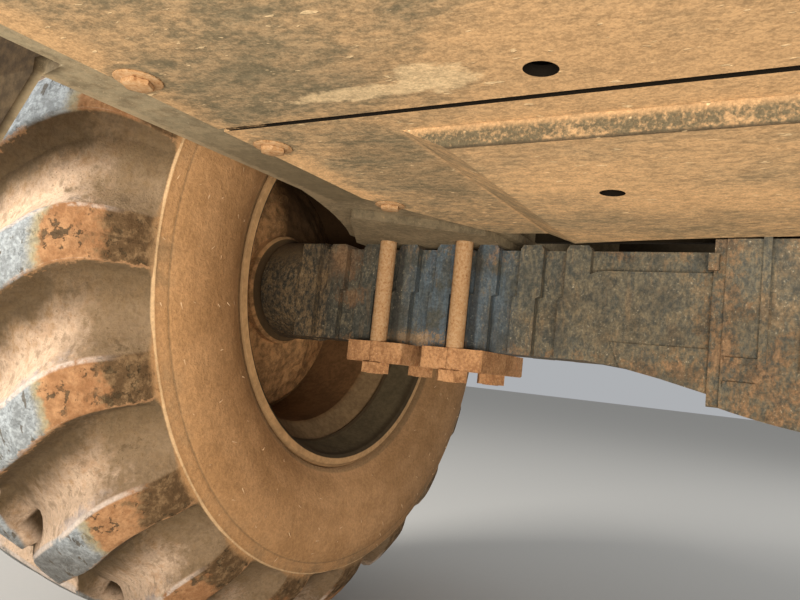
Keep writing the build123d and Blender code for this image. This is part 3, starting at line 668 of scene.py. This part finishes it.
def axleFinish(f):
    # Slate paint with a painted blue sheen at the clamps, under olive dust that thickens to brown and rust at the
    # centre
    material, tap, place = newFinish("axlePaint")
    x, y, z = parts(place)
    side = abs(x)
    blots = grain(place, 0.055, 6, 0.65)
    mottle = grain(place * (1.0, 1.0, 0.6), 0.006, 6, 0.75)
    runs = grain(place * (1.0, 1.0, 0.14), 0.009, 4, 0.65)
    specks = grain(place, 0.0035, 3, 0.75)
    # Painted sheen: blue between and beside the studs, stronger low down
    blue = rise(side, 0.43, 0.50) * fall(side, 0.60, 0.66)
    blue = blue * rise(blots + fall(z, -0.34, -0.28) * 0.12, 0.42, 0.56) * (rise(runs, 0.35, 0.6) * 0.6 + 0.4)
    colour = blend(blue, f["slate"], f["blue"])
    colour = blend(rise(side, 0.66, 0.78) * 0.7, colour, f["dark"])
    inward = fall(side, 0.30, 0.55)
    dusty = rise(mottle * 0.7 + blots * 0.3 + inward * 0.10 - blue * 0.09, 0.46, 0.66)
    colour = blend(dusty * 0.8, colour, f["olive"])
    brown = rise(mottle * 0.5 + blots * 0.5 + fall(side, 0.17, 0.34) * 0.06, 0.54, 0.68)
    colour = blend(brown * 0.85 * inward, colour, f["brown"])
    # Rust gathers at the flange, along the tops of the pads and on the underside
    near = (fall(abs(side - f["flange"]), 0.0, 0.07) * 0.16).larger(rise(z, f["padTop"] - 0.045, f["padTop"]) * 0.10)
    low = fall(z + side * 0.16, -0.375, -0.325) * fall(side, 0.30, 0.42)
    near = near.larger(fall(z, f["underside"], f["underside"] + 0.03) * 0.12).larger(low * 0.15)
    other = grain(place + (3.0, 1.0, 2.0), 0.035, 7, 0.7)
    rusty = rise(other * 0.6 + mottle * 0.4 + near, 0.59, 0.72)
    colour = blend(rusty * 0.7, colour, f["rust"])
    for (sx, sz), (rx, rz) in f["stains"]:
        away = distance((x - sx) / rx, (z - sz) / rz)
        colour = blend(fall(away + (mottle - 0.5) * 4 + (blots - 0.5) * 2, 0.5, 1.5) * 0.75, colour, f["rust"])
    (sx, sz), (rx, rz) = f["dusty"]
    away = distance((x - sx) / rx, (z - sz) / rz)
    colour = blend(fall(away + (specks - 0.5) * 4 + (mottle - 0.5) * 3, 0.6, 1.2) * 0.75, colour, f["dust"])
    # Painted shadow, dark, beside each stud
    for stud in f["studs"]:
        greaseAndShadow = fall(abs(side - stud + 0.016), 0.005, 0.010) * fall(y, -0.055, -0.050) * rise(z, -0.418, -0.414)
        colour = blend(greaseAndShadow * 0.7, colour, f["greaseAndShadow"])
    colour = blend(rise(side, 0.775, 0.79) * 0.8, colour, blend(rise(mottle, 0.4, 0.6), f["dark"], f["carrier"]))
    colour = blend(rise(runs, 0.55, 0.66) * (0.4 - blue * 0.25), colour, f["brown"])
    colour = blend(rise(grain(place + (5.0, 0.0, 1.0), 0.045, 5, 0.6), 0.50, 0.62) * 0.45, colour, f["dark"])
    colour = shaded(tap, colour, rise(specks * 0.5 + mottle * 0.5, 0.36, 0.64), 0.66, 1.36)
    colour = blend(rise(specks, 0.62, 0.70) * rise(blots, 0.42, 0.56) * (0.7 - blue * 0.45), colour, f["spark"])
    # Painted light: the underside of the centre lighter
    colour = shaded(tap, colour, fall(z, -0.42, -0.36) * fall(side, 0.44, 0.48), 1.0, 1.2)
    colour = blend(rise(normals(tap)[2], 0.3, 0.8) * 0.75, colour, f["brown"])
    height = specks * 0.4 + mottle * 0.6 + rusty * 0.4
    return setShader(material, colour, 0.6 + dusty * 0.2, bump(height, 0.0016, 0.9), 0.25)


rubber = {
    "bare": (0.25, 0.265, 0.265), "blue": (0.37, 0.395, 0.40), "dark": (0.085, 0.062, 0.036),
    "mud": (0.33, 0.16, 0.07), "mudPale": (0.44, 0.24, 0.115), "olive": (0.36, 0.30, 0.18),
    "valley": (0.49, 0.305, 0.165), "pink": (0.59, 0.425, 0.295), "clay": (0.175, 0.115, 0.058),
    "shade": (0.070, 0.046, 0.022), "smear": (0.33, 0.31, 0.32), "edge": (0.56, 0.46, 0.38),
    "wall": (0.46, 0.258, 0.118), "wallDark": (0.37, 0.202, 0.087), "wallShade": (0.17, 0.115, 0.06),
    "ringDust": (0.58, 0.38, 0.20), "pocket": (0.05, 0.03, 0.014),
    "ring": 0.463, "groove": 0.446, "muddyFrom": 0.69, "darkFrom": 0.87,   # last two: share of the way out
}


def rubberFinish(f):
    material, tap, place = newFinish("muddyRubber")
    lug, reach, above, under, around, pocket = (tap.node("Attribute", {"attribute_name": n}, out=2) for n in
                                                ("lug", "reach", "above", "under", "around", "pocket"))
    x, y, z = parts(place)
    radius = distance(y, z - hubZ)
    blots = grain(place, 0.06, 6, 0.65)
    fine = grain(place, 0.012, 5, 0.7)
    pits = grain(place, 0.0045, 3, 0.7)
    streaks = grain(tap.node("CombineXYZ", {}, {0: x, 1: around * 0.5, 2: radius * 0.6}), 0.010, 6, 0.72)
    # Valleys: pale clay with painted light over the lug below, painted shade, dark and olive, under the lug above,
    # browner at the shoulder
    pale = fall(above + (blots - 0.5) * 0.05, 0.025, 0.095)
    valley = blend(rise(streaks * 0.7 + fine * 0.3 + pale * 0.15, 0.42, 0.66), f["valley"], f["pink"])
    clay = rise(reach + (blots - 0.5) * 0.45 + (fine - 0.5) * 0.25, 0.66, 0.84)
    crust = grain(place + (1.0, 2.0, 0.0), 0.03, 7, 0.75)
    valley = blend(rise(crust, 0.52, 0.60) * 0.4 * rise(reach, 0.45, 0.7), valley, f["mudPale"])
    valley = blend(clay * 0.85, valley, f["clay"])
    valley = blend(rise(streaks, 0.52, 0.62) * 0.5, valley, f["clay"])
    valley = blend(rise(pits, 0.60, 0.68) * rise(blots, 0.42, 0.55) * 0.6, valley, f["shade"])
    smear = fall(above + (fine - 0.5) * 0.03, 0.004, 0.016) * rise(blots, 0.42, 0.56) * rise(reach, 0.3, 0.5)
    valley = blend(smear * 0.55 * (1 - clay), valley, f["smear"])
    valley = blend(rise(blots + (fine - 0.5) * 0.5, 0.62, 0.72) * clay * 0.6, valley, f["shade"])
    # Painted shade: a dark band in the valley under each lug's lower edge
    shade = fall(under + (blots - 0.5) * 0.07 + (streaks - 0.5) * 0.03 + reach * 0.015, 0.025, 0.085)
    valley = blend(shade * (0.93 - clay * 0.35), valley, f["shade"])
    # Lug tops: bare blue-grey rubber at the crown, orange mud outwards, bare dark patches at the end
    bare = blend(rise(fine * 0.6 + pits * 0.4, 0.40, 0.62), f["bare"], f["blue"])
    nicks = grain(tap.node("CombineXYZ", {}, {0: x, 1: around * 0.35, 2: radius}), 0.010, 3, 0.6)
    bare = blend(rise(nicks, 0.60, 0.64) * 0.75, bare, f["dark"])
    # Painted shade: the bare rubber darker near the bottom of the wheel
    bare = blend(fall(z, hubZ - 0.42, hubZ - 0.36) * 0.55, bare, f["dark"])
    off = reach + (blots - 0.5) * 0.16 + (fine - 0.5) * 0.06 - f["muddyFrom"]
    mud = blend(rise(fine * 0.5 + blots * 0.5, 0.40, 0.62), f["mud"], f["mudPale"])
    top = blend(rise(off, -0.06, 0.0), bare, f["olive"])
    top = blend(rise(off, -0.012, 0.014), top, mud)
    spots = rise(grain(place, 0.016, 5, 0.65), 0.57, 0.61) * rise(blots, 0.40, 0.52) * rise(lug, 0.85, 0.93)
    top = blend(spots * 0.85 * rise(off, 0.0, 0.03), top, f["dark"])
    ends = rise(reach + (blots - 0.5) * 0.35 + (fine - 0.5) * 0.12, f["darkFrom"] - 0.02, f["darkFrom"] + 0.03)
    top = blend(ends * 0.85, top, blend(rise(fine, 0.45, 0.65), f["shade"], f["clay"]))
    crumbs = fall(abs(under + (fine - 0.5) * 0.02), 0.0005, 0.003) * rise(blots, 0.40, 0.55)
    colour = blend(rise(lug, 0.80, 0.93), valley, top)
    colour = blend(crumbs * 0.7, colour, f["mudPale"])
    # Painted highlight: a pale line along each lug's upper edge, fading towards the shoulder
    line = fall(abs(above), 0.0012, 0.0045) * rise(blots + (fine - 0.5) * 0.4, 0.36, 0.5)
    colour = blend(line * fall(reach, 0.80, 0.95) * 0.9, colour, f["edge"])
    # Painted shade, near black, in the deep gaps between the lugs' noses
    colour = blend(rise(pocket, 0.2, 0.8) * fall(lug, 0.3, 0.8), colour, f["pocket"])
    # Sidewall: even brown mud with faint rings, and the pale worn ring at the shoulder
    sweep = grain(tap.node("CombineXYZ", {}, {0: radius * 30, 1: blots * 0.6, 2: x * 2}), 1.0, 3, 0.6)
    wall = blend(rise(sweep * 0.4 + blots * 0.7, 0.42, 0.72), f["wallDark"], f["wall"])
    olive = rise(radius + (blots - 0.5) * 0.09, 0.435, 0.475) * rise(blots + (fine - 0.5) * 0.4, 0.46, 0.62)
    wall = blend(olive * 0.6, wall, f["wallShade"])
    wall = blend(fall(abs(radius - f["groove"]), 0.0006, 0.0018) * 0.45, wall, f["wallShade"])
    wall = blend(fall(radius, 0.306, 0.3095) * 0.55, wall, f["wallShade"])
    # Painted shade: the sidewall darker towards the front of the wheel
    wall = shaded(tap, wall, rise(y, 0.0, 0.28), 1.04, 0.72)
    onWall = rise(reach, 0.985, 1.0)
    colour = blend(onWall, colour, wall)
    ring = fall(abs(radius - f["ring"]), 0.0006, 0.0016) * rise(reach, 0.97, 0.99)
    colour = blend(ring * 0.9, colour, f["ringDust"])
    colour = shaded(tap, colour, rise(pits * 0.6 + fine * 0.4, 0.34, 0.66), 0.84, 1.18)
    crusted = crust * fall(reach, 0.97, 1.0) * 0.9
    height = pits * 0.7 + fine * 0.6 + spots * (-0.6) + crusted + streaks * 0.35 + nicks * rise(lug, 0.8, 0.9) * 0.3
    rough = 0.9 - rise(lug, 0.85, 0.95) * fall(off, -0.05, 0.0) * 0.25
    return setShader(material, colour, rough, bump(height, 0.0022, 0.9))


rimPaint = {
    "lip": (0.42, 0.25, 0.115), "seat": (0.105, 0.078, 0.042), "slope": (0.20, 0.125, 0.060),
    "well": (0.16, 0.080, 0.032), "disc": (0.44, 0.23, 0.09), "grit": (0.13, 0.075, 0.034),
    "stone": (0.48, 0.32, 0.18), "dark": (0.04, 0.026, 0.013),
    "halfTrack": 0.985, "ledge": 0.151, "lipFrom": 0.200,       # the last two from the rim's middle plane
}


def rimFinish(f):
    material, tap, place = newFinish("rimMud")
    x, y, z = parts(place)
    radius = distance(y, z - hubZ)
    across = abs(abs(x) - f["halfTrack"])
    blots = grain(place, 0.05, 6, 0.65)
    fine = grain(place, 0.008, 4, 0.7)
    # From the middle outwards: well, slope, dark edge of the ledge, bead seat, and the pale lip
    inWell = fall(across, 0.108, 0.118)
    outside = blend(rise(across, f["ledge"] - 0.001, f["ledge"] + 0.005), f["slope"], f["seat"])
    colour = blend(inWell, outside, f["well"])
    colour = shaded(tap, colour, rise(blots * 0.5 + fine * 0.5, 0.38, 0.62), 0.75, 1.2)
    colour = blend(fall(abs(across - f["ledge"]), 0.002, 0.006) * 0.8, colour, f["dark"])
    colour = blend(rise(across, 0.195, 0.208) * 0.75, colour, f["dark"])
    # Painted shade, near black, on the front upper quarter of the rim's inner half
    colour = blend(wheelShadeShare(place, blots, (-0.02, 0.03), (1.0, 1.02)) * 0.8, colour, wheelShade)
    lip = rise(across, f["lipFrom"], f["lipFrom"] + 0.004) * rise(radius, 0.2835, 0.2850)
    pale = shaded(tap, (*f["lip"], 1), rise(fine * 0.5 + blots * 0.5, 0.38, 0.62), 0.82, 1.18)
    pale = blend(fall(abs(radius - 0.2955), 0.0008, 0.002) * 0.4, pale, f["slope"])
    colour = blend(lip, colour, pale)
    onDisc = fall(radius, 0.222, 0.234)
    disc = blend(rise(blots, 0.4, 0.6), f["disc"], blend(rise(fine, 0.4, 0.6), f["grit"], f["disc"]))
    disc = blend(rise(fine, 0.64, 0.7) * 0.8, disc, f["stone"])
    colour = blend(onDisc, colour, disc)
    height = fine * (0.4 + onDisc * 1.2) + blots * 0.4
    return setShader(material, colour, 0.85, bump(height, 0.002, 0.8))


finishes = {
    "tyre": rubberFinish(rubber), "rim_paint": rimFinish(rimPaint), "belly_paint": bellyFinish(belly),
    "hub_paint": hubFinish(steel["hub"]), "axle_paint": axleFinish(axle),
    "clamp_steel": clampFinish(steel["clamp"]), "frame_paint": frameFinish(steel["frame"]),
    "machined_steel": plainFinish("machinedSteel", steel["machined"]),
}
for part in frame["record"]["subparts"]:
    for slot in frame["nodes"][part["node"]].material_slots:
        slot.material = finishes[part["material_slot"]]
print("finishes made", len(finishes))

for side in ("left", "right"):
    made = buildTyre(tyre, f"wheel_{side}", f"tyre_rubber_{side}")
    made.data.materials.append(finishes["tyre"])
    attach(made, f"wheel_{side}")
    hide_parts(f"tyre_{side}")
    print("tyre", side, len(made.data.polygons) * 2, "triangles")

# Fine hairs of rubber that the mould's vents leave on the sidewalls
hairs = {"spots": 38, "radii": (0.455, 0.432, 0.412, 0.392, 0.371, 0.349, 0.328), "length": 0.009, "thick": 0.0009,
         "colour": (0.62, 0.42, 0.24)}


def buildHairs(h, body, name, material):
    hub = hubs[body]
    sx = 1 if hub.x > 0 else -1
    dice = random.Random(11)
    wallX, wallR = wallCurve(tyre["wall"], 60)
    work = bmesh.new()
    for face in (-1, 1):
        for n in range(h["spots"]):
            for r in h["radii"]:
                if dice.random() < 0.35:
                    continue
                a = 2 * math.pi * (n + dice.uniform(-0.06, 0.06)) / h["spots"]
                across = np.interp(r * 1000, wallR[::-1], wallX[::-1]) / 1000 - 0.0004
                foot = hub + Vector((sx * face * across, -r * math.cos(a), r * math.sin(a)))
                out = Vector((sx * face, 0, 0))
                lean = (out * dice.uniform(0.15, 0.5)
                        + Vector((0, dice.uniform(-1, 1), dice.uniform(-1, 1))).normalized()).normalized()
                tip = foot + lean * h["length"] * dice.uniform(0.5, 1.1)
                turn = facing(foot, lean)
                ring = [work.verts.new(turn @ Vector((h["thick"] * math.cos(q), h["thick"] * math.sin(q), 0)))
                        for q in (0, 2.1, 4.2)]
                end = work.verts.new(tip)
                for k in range(3):
                    work.faces.new((ring[k], ring[(k + 1) % 3], end))
                work.faces.new(ring[::-1])
    newPiece(name, work, material, body)


hairRubber, tap, place = newFinish("ventHairs")
setShader(hairRubber, hairs["colour"], 0.9)
for side in ("left", "right"):
    buildHairs(hairs, f"wheel_{side}", f"vent_hairs_{side}", hairRubber)

# Bolts that hold the belly plates up against the rails
bellyBolts = {
    "x": belly["boltX"], "y": belly["boltY"],
    "bolt": {"washer": (0.0185, 0.002), "flats": 0.021, "height": 0.005},
}


def buildBellyBolts(b):
    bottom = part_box("belly_plate_rear")[0][2]
    dice = random.Random(3)
    work = bmesh.new()
    for sx in (-1, 1):
        for y in b["y"]:
            addBolt(work, (sx * b["x"], y, bottom), (0, 0, -1), b["bolt"], dice.uniform(0, 1))
    newPiece("belly_bolts", work, finishes["clamp_steel"], "root")


buildBellyBolts(bellyBolts)

# Wheel studs and nuts: nuts on the outer face of the disc, stud heads behind the hub's flange
wheelNuts = {
    "count": 10, "circle": 0.1675, "discOuter": 0.024, "flangeBack": -0.012,
    "nut": {"washer": (0.021, 0.003), "flats": 0.032, "height": 0.022, "thread": (0.0105, 0.013)},
    "head": {"washer": (0.0, 0.0), "flats": 0.030, "height": 0.008},
}


def buildWheelNuts(w, body, name):
    hub = hubs[body]
    sx = 1 if hub.x > 0 else -1
    work = bmesh.new()
    for n in range(w["count"]):
        a = 2 * math.pi * (n + 0.5) / w["count"]
        spot = hub + Vector((0, w["circle"] * math.cos(a), w["circle"] * math.sin(a)))
        addBolt(work, spot + Vector((sx * w["discOuter"], 0, 0)), (sx, 0, 0), w["nut"], a)
        addBolt(work, spot + Vector((sx * w["flangeBack"], 0, 0)), (-sx, 0, 0), w["head"], a)
    newPiece(name, work, finishes["hub_paint"], body)


for side in ("left", "right"):
    buildWheelNuts(wheelNuts, f"wheel_{side}", f"wheel_nuts_{side}")

# Dried mud on top of the belly plates: it darkens the slit and the drain holes, and its underside is painted shade
bellyMud = {
    "halfWidth": 0.466, "rear": -0.852, "front": -0.150, "step": 0.014, "depth": (0.006, 0.016),
    "slit": belly["slit"], "drains": belly["drains"], "lift": 0.007,
    "pan": (0.395, 0.352, -0.528, 0.018), "bow": (-0.159, -0.204), "plug": ((0.511, 0.556), (-0.5698, -0.5632)),
    "wet": (0.045, 0.028, 0.013), "dry": (0.30, 0.19, 0.09), "deep": (0.004, 0.0025, 0.0015),
}


def mudFinish(f):
    material, tap, place = newFinish("driedMud")
    fine = grain(place, 0.006, 5, 0.7)
    colour = blend(rise(fine, 0.45, 0.65), f["wet"], f["dry"])
    # Painted shade, near black, on the underside that shows through the slit and the drain holes
    under = fall(normals(tap)[2], -0.5, -0.1) * fall(abs(parts(place)[0]), 0.49, 0.50)
    colour = blend(under, colour, f["deep"])
    return setShader(material, colour, 0.95, bump(fine, 0.002, 0.8))


def buildBellyMud(m, material):
    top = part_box("belly_plate_rear")[1][2]
    xs = np.linspace(-m["halfWidth"], m["halfWidth"], int(2 * m["halfWidth"] / m["step"]) + 1)
    ys = np.linspace(m["rear"], m["front"], int((m["front"] - m["rear"]) / m["step"]) + 1)
    ys = np.array(sorted([y for y in ys if abs(y - m["slit"]) > 0.009]
                         + [m["slit"] + d for d in (-0.008, -0.0045, 0, 0.0045, 0.008)]))
    edge, floor, rear, sunk = m["pan"]
    work = bmesh.new()
    sheets = []
    side, middle = m["bow"]
    for isTop in (False, True):
        sheet = []
        for x in xs:
            line = []
            # The front edge follows the bow of the pan
            front = side + (middle - side) * max(0, 1 - (x / floor) ** 2)
            pull = (front + 0.5) / (m["front"] + 0.5)
            for level in ys:
                y = level if level < -0.5 else -0.5 + (level + 0.5) * pull
                inPan = np.clip((edge - abs(x)) / (edge - floor), 0, 1) if y > rear + 0.008 else 0
                low = top - sunk * inPan + 0.0003
                lift = 1.0 if abs(y - m["slit"]) < 0.005 else 0.0
                for dx, dy in m["drains"]:
                    away = math.hypot(abs(x) - dx, y - dy)
                    lift = max(lift, min(1, max(0, (0.030 - away) / 0.010)))
                low += m["lift"] * lift
                v = Vector((x, y, 0))
                thick = m["depth"][0] + (noise.noise(v * 9) * 0.5 + 0.5) * (m["depth"][1] - m["depth"][0])
                rim = min((m["halfWidth"] - abs(x)), y - m["rear"], front - y)
                thick = thick * min(1, 0.25 + rim / 0.02) + noise.noise(v * 60) * 0.0015
                line.append(work.verts.new((x, y, low + (max(thick, 0.001) if isTop else 0))))
            sheet.append(line)
        sheets.append(sheet)
    for sheet in sheets:
        for a, b in zip(sheet, sheet[1:]):
            for n in range(len(a) - 1):
                work.faces.new((a[n], b[n], b[n + 1], a[n + 1]))
    low, high = sheets
    rims = [(low[0], high[0]), (low[-1], high[-1]), ([l[0] for l in low], [l[0] for l in high]),
            ([l[-1] for l in low], [l[-1] for l in high])]
    for under, over in rims:
        for n in range(len(under) - 1):
            work.faces.new((under[n], under[n + 1], over[n + 1], over[n]))
    # Ends of the slit, filled with mud
    (near, far), (back, fore) = m["plug"]
    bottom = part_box("belly_plate_rear")[0][2]
    for sx in (-1, 1):
        spread = Matrix.Diagonal((far - near, fore - back, top - bottom - 0.0015, 1))
        spot = Matrix.Translation((sx * (near + far) / 2, (back + fore) / 2, (top + bottom) / 2 + 0.0003))
        bmesh.ops.create_cube(work, size=1, matrix=spot @ spread)
    newPiece("belly_mud", work, material, "root", 60)


mud = mudFinish(bellyMud)
buildBellyMud(bellyMud, mud)

# Mud thrown over the hub's flange and the disc, inside each wheel
discMud = {
    "inner": 0.0995, "outer": 0.226, "rings": 22, "steps": 150, "lumps": 0.014, "thick": 0.012,
    # Radius, and distance from the hub's middle plane
    "level": ((0.100, -0.036), (0.125, -0.034), (0.170, -0.018), (0.190, -0.010), (0.208, 0.002), (0.226, 0.006)),
}


def buildDiscMud(m, body, name):
    hub = hubs[body]
    sx = 1 if hub.x > 0 else -1
    work = bmesh.new()
    front = []
    for k in range(m["rings"]):
        r = m["inner"] + (m["outer"] - m["inner"]) * k / (m["rings"] - 1)
        ring = []
        for n in range(m["steps"]):
            a = 2 * math.pi * n / m["steps"]
            v = Vector((3 * sx, r * math.cos(a), r * math.sin(a)))
            lump = max(0, noise.noise(v * 16) + 0.1) * 0.7 + max(0, noise.noise(v * 45)) * 0.5
            lump += noise.noise(v * 110) * 0.15
            fade = min(1, (m["outer"] - r) / 0.02, (r - m["inner"]) / 0.006 + 0.3)
            level = float(np.interp(r, *zip(*m["level"]))) - lump * m["lumps"] * fade
            ring.append(work.verts.new(hub + Vector((sx * level, v.y, v.z))))
        front.append(ring)
    back = [[work.verts.new(v.co + Vector((sx * m["thick"], 0, 0))) for v in ring] for ring in (front[0], front[-1])]
    loops = [back[0]] + front + [back[1]]
    for a, b in zip(loops, loops[1:] + loops[:1]):
        for n in range(m["steps"]):
            q = (n + 1) % m["steps"]
            work.faces.new((a[n], a[q], b[q], b[n]))
    newPiece(name, work, finishes["hub_paint"], body, 70)


for side in ("left", "right"):
    buildDiscMud(discMud, f"wheel_{side}", f"disc_mud_{side}")
print("small pieces made")

scene = bpy.context.scene
scene.view_settings.view_transform = "Standard"
makeCamera(cameraView)

floorZ = cadBox[0][2]
studio = {
    "sky": (0.93, 0.96, 1.0), "skyStrength": 0.45, "floor": (0.53, 0.51, 0.47),
    "lamps": {                                    # place, what it points at, size, watts, colour
        "low": ((0.25, -1.95, floorZ + 0.04), (0.25, -1.95, 2.0), (2.8, 1.5), 56, (1.0, 0.95, 0.88)),
        "rearLeft": ((-2.9, -3.1, 2.3), (-0.9, -0.3, -0.3), (2.2, 2.2), 275, (1.0, 0.98, 0.95)),
        "wheelFill": ((0.35, -1.85, -0.74), (-0.95, -0.4, -0.40), (1.0, 0.5), 29, (1.0, 0.93, 0.84)),
        "frontRight": ((3.2, 2.6, 1.8), (0.2, 0, -0.3), (2.5, 2.5), 90, (0.95, 0.97, 1.0)),
    },
}


def addLamp(name, place, aim, size, watts, colour):
    data = bpy.data.lights.new(name, "AREA")
    data.shape = "RECTANGLE"
    data.size, data.size_y = size
    data.energy = watts
    data.color = colour
    lamp = bpy.data.objects.new(name, data)
    lamp.location = place
    lamp.rotation_euler = (Vector(aim) - Vector(place)).to_track_quat("-Z", "Y").to_euler()
    lamp.visible_camera = False
    scene.collection.objects.link(lamp)
    return lamp


def lightStudio(s):
    world = bpy.data.worlds.new("studio")
    scene.world = world
    world.use_nodes = True
    background = world.node_tree.nodes["Background"]
    background.inputs["Color"].default_value = (*s["sky"], 1)
    background.inputs["Strength"].default_value = s["skyStrength"]
    lamps = {name: addLamp(name, *lamp) for name, lamp in s["lamps"].items()}
    material, tap, place = newFinish("paleFloor")
    speck = grain(place, 0.01, 4, 0.7)
    setShader(material, blend(speck, tuple(c * 0.94 for c in s["floor"]), s["floor"]), 0.9)
    bpy.ops.mesh.primitive_plane_add(size=40, location=(0, 0, floorZ))
    floor = bpy.context.object
    floor.name = "floor"
    floor.data.materials.append(material)
    # The fill lamp stands just above the floor and would burn a white spot into it
    unlit = bpy.data.collections.new("unlit")
    unlit.objects.link(floor)
    unlit.collection_objects[0].light_linking.link_state = "EXCLUDE"
    lamps["wheelFill"].light_linking.receiver_collection = unlit


lightStudio(studio)
